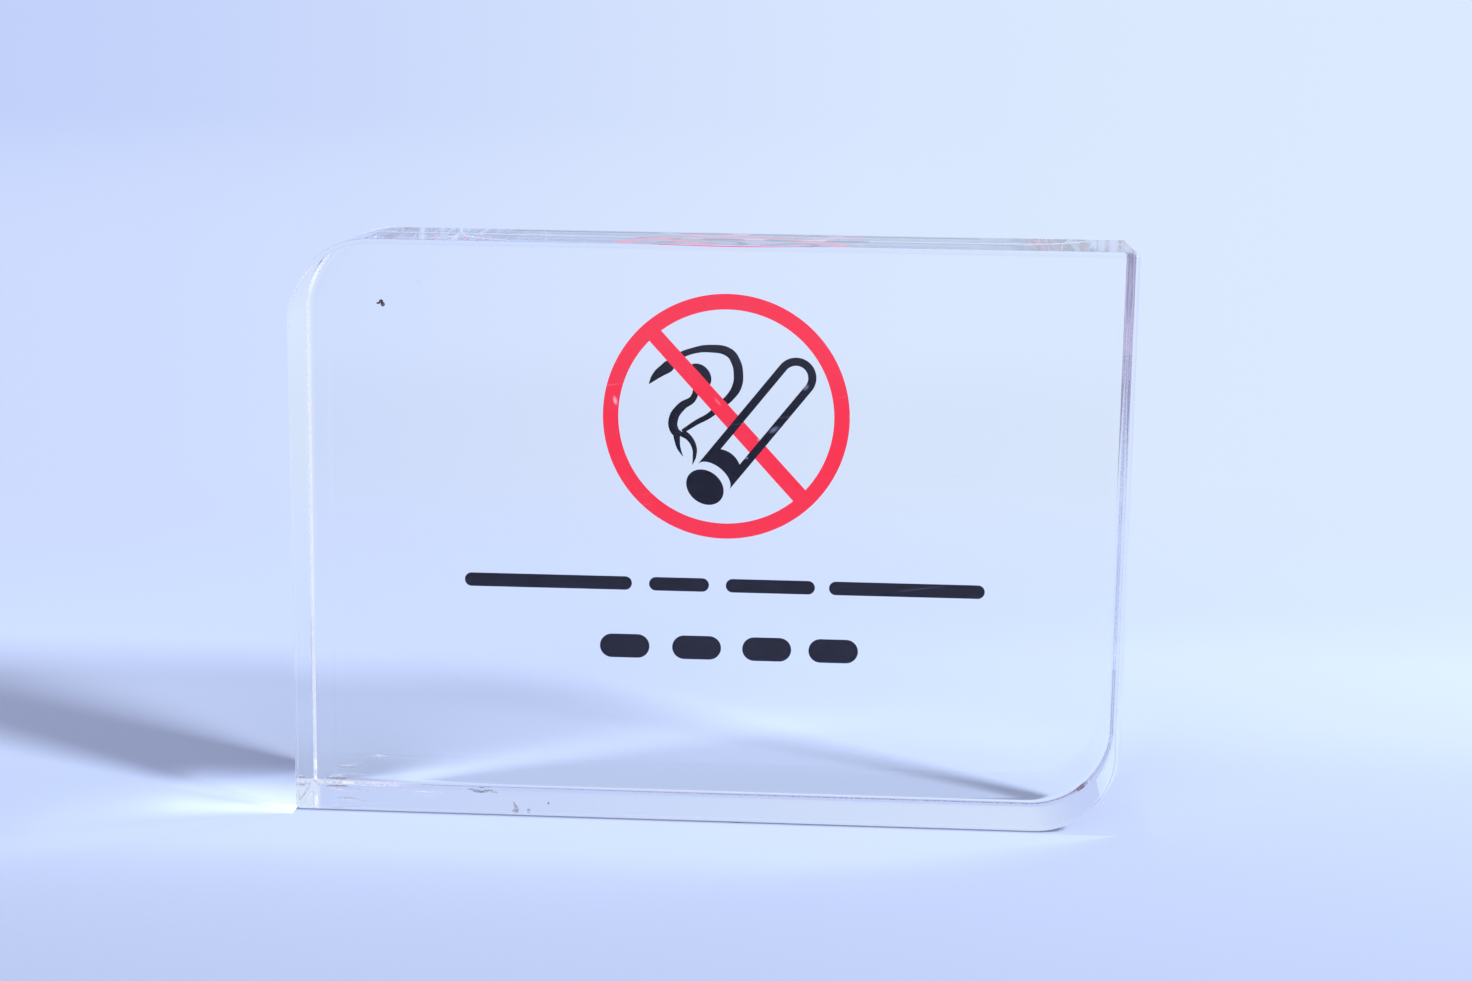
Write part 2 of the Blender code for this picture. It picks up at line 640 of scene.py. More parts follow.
def at_right_end_or_foot(face):
    """All the rounding up the right end, and its outermost row round the routed corner and along the foot."""
    above_corner = face.center.z > low.z + CORNER_RADIUS
    up_the_end = 0.05 < face.normal.y < 0.97 and face.center.x > high.x - EDGE_RADIUS and above_corner
    outermost = 0.05 < face.normal.y < 0.25 and face.center.x > low.x + CORNER_RADIUS
    return up_the_end or (outermost and not above_corner)


# A white film paints the bright glint along the rounded back edge at the left.
painted_glint_film = edge_film("painted_edge_glint", at_left_or_foot)
# A rose film paints the print's reflection in the rounding at the right end and along the foot.
painted_reflection_film = edge_film("painted_edge_reflection", at_right_end_or_foot)

# %% [markdown]
# ## Shared effects
#
# More than one finish shows the same small things, so each is built once as a node group with named sockets
# and placed in every material that needs it.
#
# - `hairlines` are the faint straight scratches of handling and wiping.
# - `pinholes` are the dots where a screen-printed ink didn't take.
# - `rubbed_spot` is one soft oval where a film has been rubbed thin.
# - `patches` are clouds with soft borders: mottled ink, a smear worn to islands, the broken painted glint.

# %% Node helpers
FLOAT = "NodeSocketFloat"
VECTOR = "NodeSocketVector"
COLOUR = "NodeSocketColor"
ORIGIN = (0, 0, 0)


def new_group(name, output, output_kind, **inputs):
    """A shader node group, what it is given and what it puts out. An input is a number or a vector."""
    group = bpy.data.node_groups.new(name, "ShaderNodeTree")
    for socket, value in inputs.items():
        kind = FLOAT if isinstance(value, float) else VECTOR
        group.interface.new_socket(socket, in_out="INPUT", socket_type=kind).default_value = value
    group.interface.new_socket(output, in_out="OUTPUT", socket_type=output_kind)
    return group, group.nodes.new("NodeGroupInput").outputs, group.nodes.new("NodeGroupOutput").inputs


def fill_in(tree, node, **values):
    """Fills inputs by name, or by number as i0 or i1: a socket is linked, a value is set."""
    for name, value in values.items():
        key = name.replace("_", " ")
        socket = node.inputs[int(key[1:])] if key[0] == "i" and key[1:].isdigit() else node.inputs[key]
        if isinstance(value, bpy.types.NodeSocket):
            tree.links.new(value, socket)
        else:
            socket.default_value = value


def add_node(tree, kind, settings=None, **values):
    """Adds a node, by its type without ShaderNode in front, sets its options and fills its inputs."""
    node = tree.nodes.new("ShaderNode" + kind)
    for option, value in (settings or {}).items():
        setattr(node, option, value)
    fill_in(tree, node, **values)
    return node


def maths(tree, operation, first, *others):
    """One operation on a value, on two of them, or on more in a row."""
    for other in others or (0.0,):
        first = add_node(tree, "Math", {"operation": operation}, i0=first, i1=other).outputs[0]
    return first


def vector_maths(tree, operation, first, second=(0, 0, 0)):
    node = add_node(tree, "VectorMath", {"operation": operation}, i0=first, i1=second)
    return node.outputs["Value" if operation in ("LENGTH", "DOT_PRODUCT") else "Vector"]


def axes(tree, vector):
    return add_node(tree, "SeparateXYZ", Vector=vector).outputs


def ramp(tree, value, start, end, to_start=0.0, to_end=1.0, kind="SMOOTHSTEP"):
    """Maps a value from one range to another, smoothly unless another kind is asked for."""
    return add_node(tree, "MapRange", {"interpolation_type": kind}, Value=value, From_Min=start,
                    From_Max=end, To_Min=to_start, To_Max=to_end).outputs["Result"]


def mix_colour(tree, share, *colours):
    """The first colour where share is 0, the second where it is 1."""
    first, second = (c if isinstance(c, bpy.types.NodeSocket) else (*c, 1) for c in colours)
    return add_node(tree, "Mix", {"data_type": "RGBA"}, i0=share, i6=first, i7=second).outputs[2]


# %% Hairlines
LINE_STRETCH = (0.03, 0.3, 1.0)
LINE_EDGE = 0.05

hairlines, given, result = new_group("hairlines", "Lines", FLOAT, Vector=ORIGIN, Angle=0.6, Scale=900.0,
                                     Rarity=0.68)
turned = add_node(hairlines, "VectorRotate", {"rotation_type": "Y_AXIS"}, Vector=given["Vector"],
                  Angle=given["Angle"])
drawn_out = vector_maths(hairlines, "MULTIPLY", turned.outputs[0], LINE_STRETCH)
streaks = add_node(hairlines, "TexNoise", Vector=drawn_out, Scale=given["Scale"], Detail=2.0)
sharp = maths(hairlines, "ADD", given["Rarity"], LINE_EDGE)
hairlines.links.new(ramp(hairlines, streaks.outputs[0], given["Rarity"], sharp), result["Lines"])

# %% Pinholes
pinholes, given, result = new_group("pinholes", "Holes", FLOAT, Vector=ORIGIN, Scale=700.0, Size=0.16,
                                    Share=0.1)
cells = add_node(pinholes, "TexVoronoi", Vector=given["Vector"], Scale=given["Scale"])
near = ramp(pinholes, cells.outputs["Distance"], 0.0, given["Size"], 1.0, 0.0)
chance = add_node(pinholes, "SeparateColor", Color=cells.outputs["Color"])
chosen = maths(pinholes, "LESS_THAN", chance.outputs[0], given["Share"])
pinholes.links.new(maths(pinholes, "MULTIPLY", near, chosen), result["Holes"])

# %% Rubbed spot
FULLY_RUBBED_TO = 0.15

rubbed_spot, given, result = new_group("rubbed_spot", "Rubbed", FLOAT, Vector=ORIGIN, Place=ORIGIN,
                                       Angle=0.0, Size=(MM, MM, MM))
from_place = vector_maths(rubbed_spot, "SUBTRACT", given["Vector"], given["Place"])
turned = add_node(rubbed_spot, "VectorRotate", {"rotation_type": "Y_AXIS"}, Vector=from_place,
                  Angle=given["Angle"])
squeezed = vector_maths(rubbed_spot, "DIVIDE", turned.outputs[0], given["Size"])
reach = vector_maths(rubbed_spot, "LENGTH", squeezed)
rubbed_spot.links.new(ramp(rubbed_spot, reach, FULLY_RUBBED_TO, 1.0, 1.0, 0.0), result["Rubbed"])

# %% Patches
patches, given, result = new_group("patches", "Patches", FLOAT, Vector=ORIGIN, Scale=300.0, From=0.4,
                                   To=0.6)
clouds = add_node(patches, "TexNoise", Vector=given["Vector"], Scale=given["Scale"], Detail=4.0,
                  Roughness=0.6)
patches.links.new(ramp(patches, clouds.outputs[0], given["From"], given["To"]), result["Patches"])
print("node groups", [group.name for group in bpy.data.node_groups])

# %% [markdown]
# ## Clear acrylic
#
# Cast acrylic is the clearest of plastics: it bends light by an index of 1.49 and takes almost none away.
# What the eye reads as acrylic is at its borders. The large faces keep the flatness of the sheet and only
# carry a few hairlines from wiping. The sawn edges are buffed on a wheel and stay a little wavy, so they get
# ripples instead.
#
# The surface stays smooth, roughness close to nothing, because even a little roughness on the front face
# would blur the print, which lies 18 mm behind it.
#
# Cycles can't aim at a lamp through bending glass, so the lamp would hardly reach the print. For rays that
# leave the print to look for light, and for no others, the acrylic's faces are therefore plain open windows:
# Geometry's Backfacing says that a ray comes from inside, Light Path says what kind it is.

# %% Material helpers
def new_material(name):
    material = bpy.data.materials.new(name)
    material.use_nodes = True
    tree = material.node_tree
    place = add_node(tree, "TexCoord").outputs["Object"]
    return material, tree, tree.nodes["Principled BSDF"], place


def use_group(tree, group, **values):
    return add_node(tree, "Group", {"node_tree": group}, **values).outputs[0]


def bumped(tree, height, depth, strength=1.0):
    return add_node(tree, "Bump", Strength=strength, Distance=depth, Height=height).outputs[0]


def set_surface(tree, surface):
    fill_in(tree, tree.nodes["Material Output"], Surface=surface.outputs[0])


# %% Clear acrylic material
ACRYLIC_IOR = 1.49
RIPPLE_SCALE = 120.0
RIPPLE_DEPTH = 0.0005 * MM
EDGE_TO_FACE = (0.5, 0.9)
SCRATCH_ROUGHNESS = 0.08
WINDOW_TINT = 0.9

acrylic, tree, shader, place = new_material("clear_acrylic")
facing = axes(tree, add_node(tree, "NewGeometry").outputs["Normal"])
on_buffed_edge = ramp(tree, maths(tree, "ABSOLUTE", facing["Y"]), *EDGE_TO_FACE, 1.0, 0.0)
ripples = add_node(tree, "TexNoise", Vector=place, Scale=RIPPLE_SCALE, Detail=1.0).outputs[0]
buffing = maths(tree, "MULTIPLY", ripples, on_buffed_edge)
scratches = use_group(tree, hairlines, Vector=place, Angle=0.7, Scale=700.0, Rarity=0.72)
on_large_face = maths(tree, "SUBTRACT", 1.0, on_buffed_edge)
scratched = maths(tree, "MULTIPLY", scratches, on_large_face, SCRATCH_ROUGHNESS)
fill_in(tree, shader, Base_Color=(1, 1, 1, 1), IOR=ACRYLIC_IOR, Transmission_Weight=1.0, Roughness=scratched,
        Normal=bumped(tree, buffing, RIPPLE_DEPTH))

from_inside = add_node(tree, "NewGeometry").outputs["Backfacing"]
ray = add_node(tree, "LightPath").outputs
from_print = maths(tree, "MAXIMUM", ray["Is Shadow Ray"], ray["Is Diffuse Ray"])
open_window = maths(tree, "MULTIPLY", from_inside, from_print)
window = add_node(tree, "BsdfTransparent", Color=(WINDOW_TINT, WINDOW_TINT, WINDOW_TINT, 1))
surface = add_node(tree, "MixShader", i0=open_window, i1=shader.outputs[0], i2=window.outputs[0])
set_surface(tree, surface)
block.data.materials.append(acrylic)
print(acrylic.name, len(tree.nodes), "nodes")

# %% [markdown]
# ## The inks
#
# Screen ink is a thick opaque paint, pushed through a mesh. Its colour is even, but not perfectly so: it is
# mottled by a few hundredths, it has pinholes, and here and there it has been rubbed. The photograph shows
# five such rubbed spots, pale and soft, and each gets its own place.

# %% Ink materials
HOLE_PALENESS = 0.5
WIPE_PALENESS = 0.12
INK_BUMP = 0.01 * MM


def ring_place(right_of, above):
    """A place on the print, from millimetres right of and above the middle of the ring."""
    return tuple(RING_CENTRE + Vector((right_of, 0, above)) * MM)


def ink(name, thick, thin, paleness, spots):
    """Printed ink: thick and thin are its mottled colours, paleness what shows where it is worn."""
    material, tree, shader, place = new_material(name)
    mottle = use_group(tree, patches, Vector=place, Scale=420.0, From=0.3, To=0.75)
    holes = use_group(tree, pinholes, Vector=place, Scale=900.0, Size=0.2, Share=0.05)
    wiped = use_group(tree, hairlines, Vector=place, Angle=0.15, Scale=1500.0, Rarity=0.66)
    worn = maths(tree, "MAXIMUM", maths(tree, "MULTIPLY", holes, HOLE_PALENESS),
                 maths(tree, "MULTIPLY", wiped, WIPE_PALENESS))
    for spot, angle, size, strength in spots:
        rubbed = use_group(tree, rubbed_spot, Vector=place, Place=spot, Angle=angle, Size=size)
        worn = maths(tree, "MAXIMUM", worn, maths(tree, "MULTIPLY", rubbed, strength))
    fill_in(tree, shader, Base_Color=mix_colour(tree, worn, mix_colour(tree, mottle, thick, thin), paleness),
            Roughness=ramp(tree, mottle, 0.0, 1.0, 0.3, 0.42), Specular_IOR_Level=0.0,
            Normal=bumped(tree, mottle, INK_BUMP, 0.3))
    return material


red_ink = ink("red_ink", (0.97, 0.027, 0.062), (0.94, 0.033, 0.072), (0.95, 0.5, 0.62), (
    (ring_place(-13.65, 1.8), 0.25, (0.35 * MM, MM, 0.75 * MM), 0.8),
    (ring_place(-1.05, 1.9), BAR_ANGLE, (0.9 * MM, MM, 0.2 * MM), 0.25),
))
dark_ink = ink("dark_ink", (0.006, 0.006, 0.016), (0.01, 0.01, 0.022), (0.22, 0.24, 0.4), (
    (ring_place(9.7, 3.9), 0.8, (0.6 * MM, MM, 0.4 * MM), 0.7),
    (ring_place(5.9, -1.4), 0.6, (0.9 * MM, MM, 0.4 * MM), 0.65),
    (ring_place(2.6, -5.0), 0.0, (0.3 * MM, MM, 0.2 * MM), 0.9),
))
ring.data.materials.append(red_ink)
for piece in (cigarette, burning_end, smoke, *bars):
    piece.data.materials.append(dark_ink)
print(red_ink.name, dark_ink.name, len(dark_ink.node_tree.nodes), "nodes")

# %% [markdown]
# ## Dirt and white streaks
#
# Dried dirt is matt and brown, darker where it is thick. A smear doesn't cover: the `patches` group thins
# it out to islands through Alpha, so that the face shows between them. The white streaks are the same thing
# in white, drawn out along the foot.

# %% Dirt materials
DIRT_BUMP = 0.05 * MM
ALONG_THE_FOOT = (0.25, 1, 1)


def dirt(name, dark, light, cover_from=None, cover_to=None, drawn_out=(1, 1, 1)):
    """Dried dirt. With a cover range it thins out to islands."""
    material, tree, shader, place = new_material(name)
    thick = use_group(tree, patches, Vector=place, Scale=2600.0, From=0.35, To=0.65)
    fill_in(tree, shader, Base_Color=mix_colour(tree, thick, dark, light), Roughness=0.85,
            Specular_IOR_Level=0.2, Normal=bumped(tree, thick, DIRT_BUMP, 0.6))
    if cover_to:
        across = vector_maths(tree, "MULTIPLY", place, drawn_out)
        cover = use_group(tree, patches, Vector=across, Scale=1500.0, From=cover_from, To=cover_to)
        fill_in(tree, shader, Alpha=cover)
    return material


speck.data.materials.append(dirt("dried_dirt", (0.012, 0.009, 0.011), (0.16, 0.11, 0.11)))
smear_dirt = dirt("smeared_dirt", (0.2, 0.19, 0.22), (0.36, 0.33, 0.36), 0.42, 0.68)
for smear in smears:
    smear.data.materials.append(smear_dirt)
# The white streaks take the same recipe in white.
white = dirt("white_streak_film", (0.9, 0.95, 1.0), (1.0, 1.0, 1.0), 0.36, 0.95, ALONG_THE_FOOT)
white_streaks.data.materials.append(white)
print([piece.active_material.name for piece in (speck, *smears, white_streaks)])

# %% [markdown]
# ## Painted glint and painted reflection
#
# The painted glint is a white, matt film, thin enough to see through. Its strength is drawn by place.
# It is nearly solid in the arc of the routed corner, faint up the left end, and broken by `patches` along
# the foot. The painted reflection is rose and dark in lengthwise streaks. At the right end it is as wide as
# the rounding at the top and thins out to nothing two thirds of the way down.
#
# Both could be a change of colour in the acrylic itself. A film of its own is simpler to place and leaves
# the acrylic one plain material.

# %% Painted glint material
GLINT_COLOUR = (0.93, 0.96, 1.0)
GLINT_IN_ARC = 0.95
GLINT_AT_FOOT = 0.9
GLINT_UP_THE_END = 0.45
ARC_Z = (60 * MM, 64 * MM)
NEAR_CORNER_X = (-49 * MM, -34 * MM)
GLINT_FOOT_Z = (2 * MM, 5 * MM)

# Painted highlight: a white film where the rounded edge glints.
painted_glint_material, tree, shader, place = new_material("painted_edge_glint")
at = axes(tree, place)
up_the_arc = ramp(tree, at["Z"], *ARC_Z, 0.0, GLINT_IN_ARC)
broken = use_group(tree, patches, Vector=place, Scale=600.0, From=0.35, To=0.6)
near_corner = ramp(tree, at["X"], *NEAR_CORNER_X, GLINT_AT_FOOT, 0.0)
at_foot = ramp(tree, at["Z"], *GLINT_FOOT_Z, 1.0, 0.0)
foot_patches = maths(tree, "MULTIPLY", at_foot, near_corner, broken)
on_end = ramp(tree, at["X"], low.x + EDGE_RADIUS, low.x + 2 * MM, GLINT_UP_THE_END, 0.0)
fill_in(tree, shader, Base_Color=(*GLINT_COLOUR, 1), Roughness=0.6, Specular_IOR_Level=0.0,
        Alpha=maths(tree, "MAXIMUM", up_the_arc, foot_patches, on_end))
painted_glint_film.data.materials.append(painted_glint_material)
print(painted_glint_material.name, len(tree.nodes), "nodes")

# %% Painted reflection material
REFLECTION_DARK = (0.32, 0.24, 0.36)
REFLECTION_LIGHT = (0.75, 0.58, 0.74)
REFLECTION_COVER = 0.42
FOOT_COVER = 0.38
WIDTH_FROM_END = (0.65 * MM, 0.15 * MM)
SOFT_BORDER = 0.15 * MM
WIDENS_Z = (30 * MM, 68 * MM)
DARKENS_Z = (26 * MM, 50 * MM)
FOOT_Z = (0.5 * MM, 9.5 * MM)
FOOT_X = (-30 * MM, 15 * MM)

# Painted reflection: rose and dark streaks where the rounding mirrors the print.
painted_reflection_material, tree, shader, place = new_material("painted_reflection_colour")
streaks = use_group(tree, hairlines, Vector=place, Angle=math.pi / 2, Scale=3000.0, Rarity=0.48)
at = axes(tree, place)
narrow, wide = (high.x - inset for inset in WIDTH_FROM_END)
reaches_to = ramp(tree, at["Z"], *WIDENS_Z, narrow, wide)
within = ramp(tree, at["X"], reaches_to, maths(tree, "ADD", reaches_to, SOFT_BORDER), 1.0, 0.0)
cover = ramp(tree, at["Z"], *DARKENS_Z, 0.0, REFLECTION_COVER)
up_the_end = maths(tree, "MULTIPLY", within, cover)
at_foot = ramp(tree, at["Z"], *FOOT_Z, 1.0, 0.0)
along_foot = ramp(tree, at["X"], *FOOT_X, 0.0, FOOT_COVER)
foot_line = maths(tree, "MULTIPLY", at_foot, along_foot)
fill_in(tree, shader, Base_Color=mix_colour(tree, streaks, REFLECTION_LIGHT, REFLECTION_DARK), Roughness=0.7,
        Specular_IOR_Level=0.0, Alpha=maths(tree, "MAXIMUM", up_the_end, foot_line))
painted_reflection_film.data.materials.append(painted_reflection_material)
print(painted_reflection_material.name, len(tree.nodes), "nodes")

# %% [markdown]
# ## What stands for what
#
# The dressed block replaces the plain one of the frame. Every piece rides with the frame's one body and is
# listed under the name of its finish.

# %% Ride, slot and replace
(body,) = frame["bodies"]
# The painted glint film goes with the acrylic, the painted reflection film with the dirt.
slots = {
    "clear_acrylic": [block, painted_glint_film],
    "red_ink": [ring],
    "dark_ink": [cigarette, burning_end, smoke, *bars],
    "dirt": [speck, *smears, white_streaks, painted_reflection_film],
}
for slot, wearers in slots.items():
    for piece in wearers:
        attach(piece, body)
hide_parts("acrylic_block")
print({slot: len(wearers) for slot, wearers in slots.items()})

# %% [markdown]
# ## Floor and backdrop
#
# A pale paper sweep, cool from the camera's white balance. Near the sign it's a real surface that takes
# light and shadow. Further off it fades into its own plain glow, in the colour that the world has too, so
# no horizon shows behind or through the block.
#
# The floor lies a tenth of a millimetre under the block. A polished block never wets the table: a breath of
# air stays between them, and that air is what turns the underside into a mirror. Without it the lower edge
# would look into a dark floor.

# %% The tone of the backdrop
BRIGHT = (0.715, 0.82, 1.0)
DIM = (0.539, 0.638, 0.956)
DIM_NEAR = (0.61, 0.71, 1.0)
NEAR = 0.6
FAR = 2.5
TOWARDS_BRIGHT = (0.7, 0.98)
BRIGHTEST_WAY = Vector((math.sin(math.radians(25)), math.cos(math.radians(25)), 0))

backdrop_tone, given, result = new_group("backdrop_tone", "Colour", COLOUR, Way=ORIGIN, Distance=FAR)
way = vector_maths(backdrop_tone, "NORMALIZE", given["Way"])
towards = vector_maths(backdrop_tone, "DOT_PRODUCT", way, BRIGHTEST_WAY)
dim = mix_colour(backdrop_tone, ramp(backdrop_tone, given["Distance"], NEAR, FAR), DIM_NEAR, DIM)
tone = mix_colour(backdrop_tone, ramp(backdrop_tone, towards, *TOWARDS_BRIGHT), dim, BRIGHT)
backdrop_tone.links.new(tone, result["Colour"])
print(backdrop_tone.name, len(backdrop_tone.nodes), "nodes")

# %% [markdown]
# ## Light that the block throws
#
# A block of acrylic throws more than a shadow. Light that goes in at the front, the top and the right end is
# mirrored inside and leaves as bright wedges and streaks. Path tracing finds those ways only by chance, and
# then as sparks. So the lamp casts the block's plain shadow, and the light that comes through is drawn in the
# floor's own material.
#
# Every such beam has the same form on the floor. It starts along an edge of the block's foot, runs on by a
# fixed step for each millimetre of height that the light comes from, and its borders grow softer with the
# distance. The `thrown_light` group draws one of them, and the floor adds them up.

# %% Light thrown by the block
SHARPEST = 0.15 * MM

thrown_light, given, result = new_group("thrown_light", "Light", FLOAT, Vector=ORIGIN, Corner=ORIGIN,
                                        Side=ORIGIN, Width=0.01, Away=ORIGIN, Reach=0.01, Spread=0.06)
from_corner = vector_maths(thrown_light, "SUBTRACT", given["Vector"], given["Corner"])
aside = vector_maths(thrown_light, "DOT_PRODUCT", from_corner, given["Side"])
away = vector_maths(thrown_light, "DOT_PRODUCT", from_corner, given["Away"])
blur = maths(thrown_light, "ADD", maths(thrown_light, "MULTIPLY", away, given["Spread"]), SHARPEST)
less_blur = maths(thrown_light, "MULTIPLY", blur, -1.0)
light = maths(thrown_light, "GREATER_THAN", away, 0.0)
for inside in (aside, maths(thrown_light, "SUBTRACT", given["Width"], aside),
               maths(thrown_light, "SUBTRACT", given["Reach"], away)):
    light = maths(thrown_light, "MULTIPLY", light, ramp(thrown_light, inside, less_blur, blur))
thrown_light.links.new(light, result["Light"])
print(thrown_light.name, len(thrown_light.nodes), "nodes")

# %% Floor
AIR_UNDER_BLOCK = 0.1 * MM
FLOOR_RADIUS = 5.5

bpy.ops.object.select_all(action="DESELECT")
bpy.ops.mesh.primitive_circle_add(vertices=128, radius=FLOOR_RADIUS, fill_type="NGON",
                                  location=(0, 0, -AIR_UNDER_BLOCK))
floor = bpy.context.object
place_in_mesh(floor, "floor")
report(floor)

# %% Paper
PAPER = (0.58, 0.71, 1.0)
PAPER_Y = (-250 * MM, 80 * MM)
PAPER_SHADES = (0.45, 1.12)
LIT_MIDDLE = Vector((0, -0.12, 0))
LIT_STRETCH = (0.6, 1, 1)
FADES_OUT = (0.2, 0.36)

paper, tree, shader, place = new_material("paper")
# Painted shade: the paper's colour darkens towards the camera and lightens a little behind the block.
painted_shade_to_camera = ramp(tree, axes(tree, place)["Y"], *PAPER_Y, *PAPER_SHADES, kind="LINEAR")
dimmed = add_node(tree, "VectorMath", {"operation": "SCALE"}, i0=PAPER, Scale=painted_shade_to_camera)
fill_in(tree, shader, Base_Color=dimmed.outputs[0], Roughness=0.9, Specular_IOR_Level=0.0)
oval = vector_maths(tree, "MULTIPLY", vector_maths(tree, "SUBTRACT", place, LIT_MIDDLE), LIT_STRETCH)
far = ramp(tree, vector_maths(tree, "LENGTH", oval), *FADES_OUT)
from_camera_foot = vector_maths(tree, "SUBTRACT", place, (CAMERA_PLACE.x, CAMERA_PLACE.y, 0))
far_tone = use_group(tree, backdrop_tone, Way=from_camera_foot, Distance=vector_maths(tree, "LENGTH", place))
glow = add_node(tree, "Emission", Color=far_tone)
blend = add_node(tree, "MixShader", i0=far, i1=shader.outputs[0], i2=glow.outputs[0])
set_surface(tree, blend)
floor.data.materials.append(paper)
print(paper.name, len(tree.nodes), "nodes")

# %% [markdown]
# ## The beams on the floor
#
# Each row below is a beam: the corner it starts from and the edge it leaves, in millimetres on the floor, its
# run for a millimetre of height, the height it comes from, how fast it softens, and its share of the lamp's
# light. The places and shares were matched to the floor in the photograph. In order:
#
# 1. straight through from the front face to the back, which lights the right part of the shadow
# 2. mirrored at the left end and out at the back: the streak that rises to the right
# 3. a broad faint light behind the block, from the waviness of its faces
# 4. a narrow bright streak to the left, along the front lower edge
# 5. out at the left end after an odd number of turns inside
# 6. mirrored at the front face, never inside
#
# Three more are no rows, because they fade in their own way. The light out of the left end fills the foot of
# the long shadow, brighter to the front. A glow lies behind the block at the right. And what comes in
# at the top goes down to the floor under the block.

# %% Beams on the floor
KEY_ON_FLOOR = 0.63
BEAMS = (
    ((-50, 9), (92, 0), (-0.95, 0.689), 72.0, 0.33, 0.6),
    ((-48, 9), (8.5, 0), (0.95, 0.689), 52.0, 0.4, 0.55),
    ((-40, 9), (90, 0), (0, 0.689), 62.0, 0.5, 0.22),
    ((-50, -10.3), (0, 3.2), (-1.134, 0.0), 15.5, 0.33, 0.8),
    ((-50, -9), (0, 18), (-1.134, -0.689), 30.0, 0.35, 0.2),
    ((-50, -9), (100, 0), (-1.134, -0.689), 28.0, 0.6, 0.25),
)


def beam_on_floor(corner, edge, run, height, spread):
    corner = Vector((*corner, 0)) * MM
    edge = Vector((*edge, 0)) * MM
    run = Vector((*run, 0))
    side = Vector((-run.y, run.x, 0)).normalized()
    away = Vector((-edge.y, edge.x, 0)).normalized()
    side *= math.copysign(1, side.dot(edge))
    away *= math.copysign(1, away.dot(run))
    return use_group(tree, thrown_light, Vector=place, Corner=corner, Side=side, Width=side.dot(edge),
                     Away=away, Reach=away.dot(run) * height * MM, Spread=spread)


lights = [maths(tree, "MULTIPLY", beam_on_floor(*beam), share) for *beam, share in BEAMS]
print(len(lights), "beams on the floor")

# %% Lights that fade
LEFT_WEDGE = ((-50, -9), (0, 18), (-1.134, 0.689), 16.0, 0.2)
LEFT_WEDGE_SHARE = 1.35
WEDGE_Y = (11 * MM, -7 * MM)
BEHIND_SHARE = 0.12
BEHIND_STARTS_Y = (15 * MM, 45 * MM)
BEHIND_ENDS_Y = (60 * MM, 120 * MM)
BEHIND_X = (-25 * MM, 10 * MM)
UNDER_SHARES = (1.2, 1.05)
UNDER_X = (-30 * MM, 0)
UNDER_SOFT = 2 * MM

at = axes(tree, place)
to_front = ramp(tree, at["Y"], *WEDGE_Y, 0, LEFT_WEDGE_SHARE)
lights.append(maths(tree, "MULTIPLY", beam_on_floor(*LEFT_WEDGE), to_front))

behind = ramp(tree, at["Y"], *BEHIND_STARTS_Y, 0, BEHIND_SHARE)
not_far = ramp(tree, at["Y"], *BEHIND_ENDS_Y, 1.0, 0.0)
at_right = ramp(tree, at["X"], *BEHIND_X)
lights.append(maths(tree, "MULTIPLY", behind, not_far, at_right))

flat_half = size.y / 2 - EDGE_RADIUS
arc_at = high.x - CORNER_RADIUS
between_faces = ramp(tree, maths(tree, "ABSOLUTE", at["Y"]), flat_half - UNDER_SOFT, flat_half, 1.0, 0.0)
from_left = ramp(tree, at["X"], low.x + EDGE_RADIUS, low.x + UNDER_SOFT)
to_routed = ramp(tree, at["X"], arc_at - UNDER_SOFT, arc_at, 1.0, 0.0)
from_top = ramp(tree, at["X"], *UNDER_X, *UNDER_SHARES)
lights.append(maths(tree, "MULTIPLY", between_faces, from_left, to_routed, from_top))

total = maths(tree, "ADD", *lights)
lit = add_node(tree, "VectorMath", {"operation": "SCALE"}, i0=PAPER, Scale=total)
fill_in(tree, shader, Emission_Color=lit.outputs[0], Emission_Strength=KEY_ON_FLOOR)
print(len(lights), "lights on the floor")

# %% [markdown]
# ## Light
#
# One round softbox stands to the right and in front, about 37 degrees up. Its direction can be read off the
# photograph: on the floor the shadow lines of the upright edges run back and to the left at 31 degrees, and
# the shadow of the top edge ends 57 mm behind the block. The lamp is hidden from rays that have passed
# through the acrylic, because the beams above stand for that light already.
#
# The world fills in as white walls would, more from the front, as if a window were there. The camera and
# the block see it in the tone of the backdrop. Only a mirrored ray that goes back to the front sees a dark
# room: the front face would otherwise lay a veil over the print.

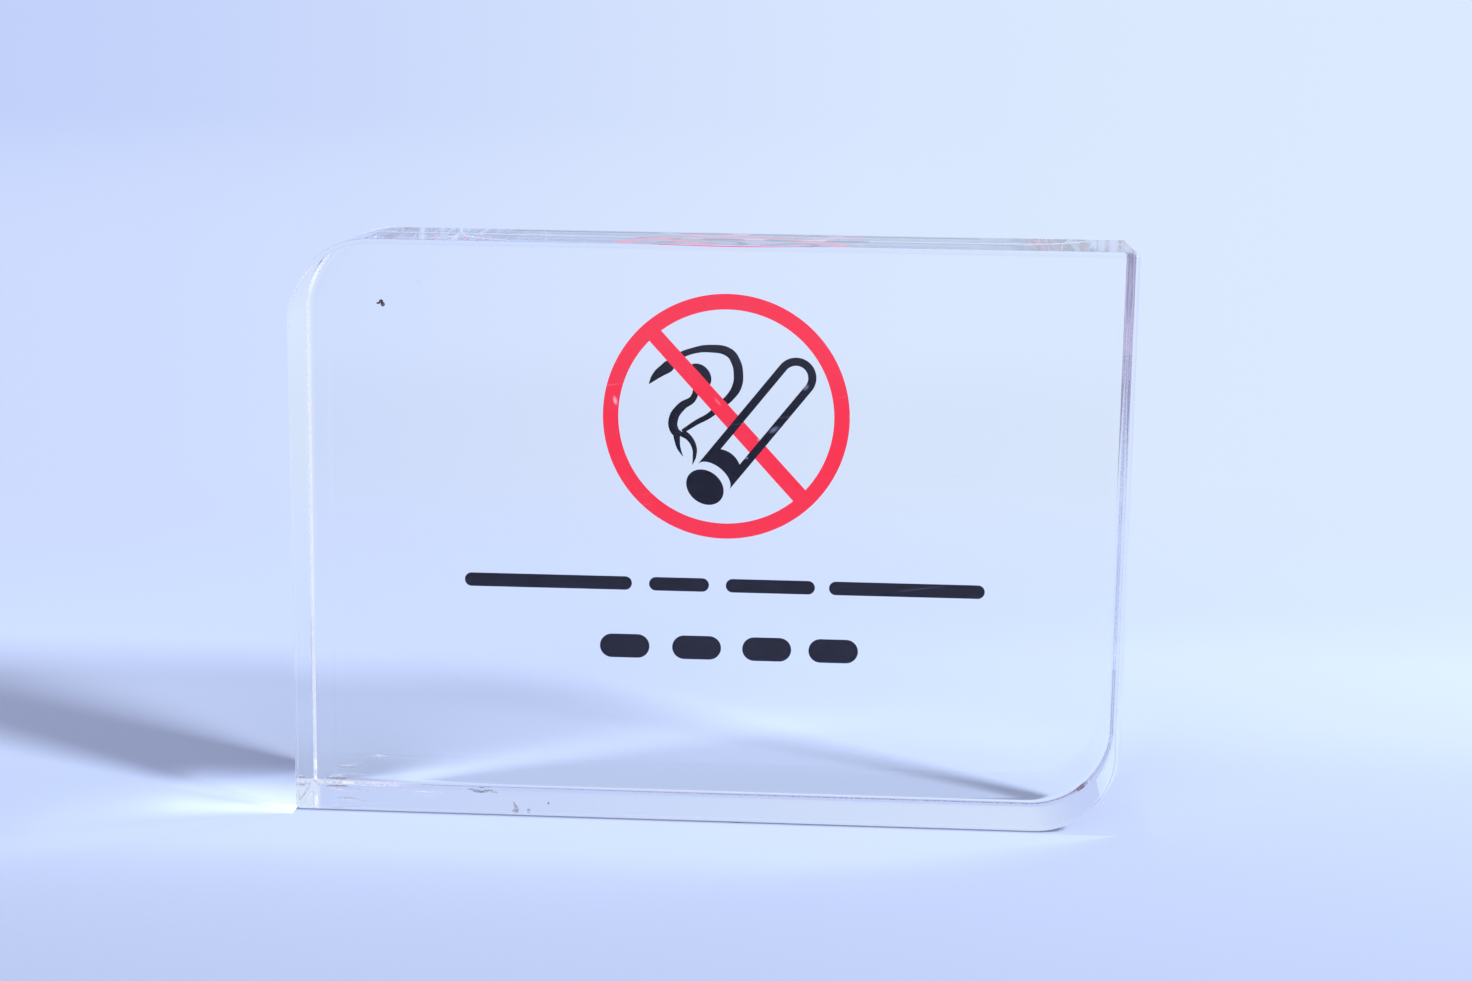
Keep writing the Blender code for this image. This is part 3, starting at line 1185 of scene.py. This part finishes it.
# %% World
DARK_ROOM = (0.03, 0.035, 0.05)
FILL_COLOUR = (1.0, 0.93, 1.0)
FILL = 0.41
FRONT_FILL = 0.9
TO_FRONT = (0, -1, 0)
FRONT_FILL_WITHIN = (0.4, 1.0)
DARK_WITHIN = (0.2, 0.8)

world = bpy.data.worlds.new("studio")
bpy.context.scene.world = world
world.use_nodes = True
tree = world.node_tree
way = add_node(tree, "TexCoord").outputs["Generated"]
ray = add_node(tree, "LightPath").outputs
after_diffuse = maths(tree, "GREATER_THAN", ray["Diffuse Depth"], 0.5)
frontness = vector_maths(tree, "DOT_PRODUCT", way, TO_FRONT)
fill = ramp(tree, frontness, *FRONT_FILL_WITHIN, FILL, FILL + FRONT_FILL)
strength = add_node(tree, "Mix", i0=after_diffuse, i2=1.0, i3=fill)
colour = mix_colour(tree, after_diffuse, use_group(tree, backdrop_tone, Way=way), FILL_COLOUR)
in_front = ramp(tree, frontness, *DARK_WITHIN)
mirrored_to_front = maths(tree, "MULTIPLY", ray["Is Glossy Ray"], in_front)
fill_in(tree, tree.nodes["Background"], Color=mix_colour(tree, mirrored_to_front, colour, DARK_ROOM),
        Strength=strength.outputs[0])
print("world fill", FILL, "to", FILL + FRONT_FILL)

# %% Softbox
LIGHT_AZIMUTH = math.radians(31.3)
LIGHT_HEIGHT = math.radians(37)
LIGHT_DISTANCE = 1.8
LIGHT_SIZE = 0.32
LIGHT_POWER = 31.0

level_part = Vector((math.cos(LIGHT_AZIMUTH), -math.sin(LIGHT_AZIMUTH), 0)) * math.cos(LIGHT_HEIGHT)
to_light = level_part + Vector((0, 0, math.sin(LIGHT_HEIGHT)))
bpy.ops.object.light_add(type="AREA", location=to_light * LIGHT_DISTANCE)
softbox = bpy.context.object
softbox.name = "softbox"
softbox.rotation_euler = to_light.to_track_quat("Z", "Y").to_euler()
softbox.data.shape = "DISK"
softbox.data.size = LIGHT_SIZE
softbox.data.energy = LIGHT_POWER
softbox.visible_transmission = False
print("softbox at", tuple(round(v, 2) for v in softbox.location), "m")

# %% Render settings
scene = bpy.context.scene
scene.view_settings.view_transform = "Standard"
scene.cycles.blur_glossy = 0.0
scene.cycles.max_bounces = 24
scene.cycles.transmission_bounces = 20
scene.cycles.glossy_bounces = 16
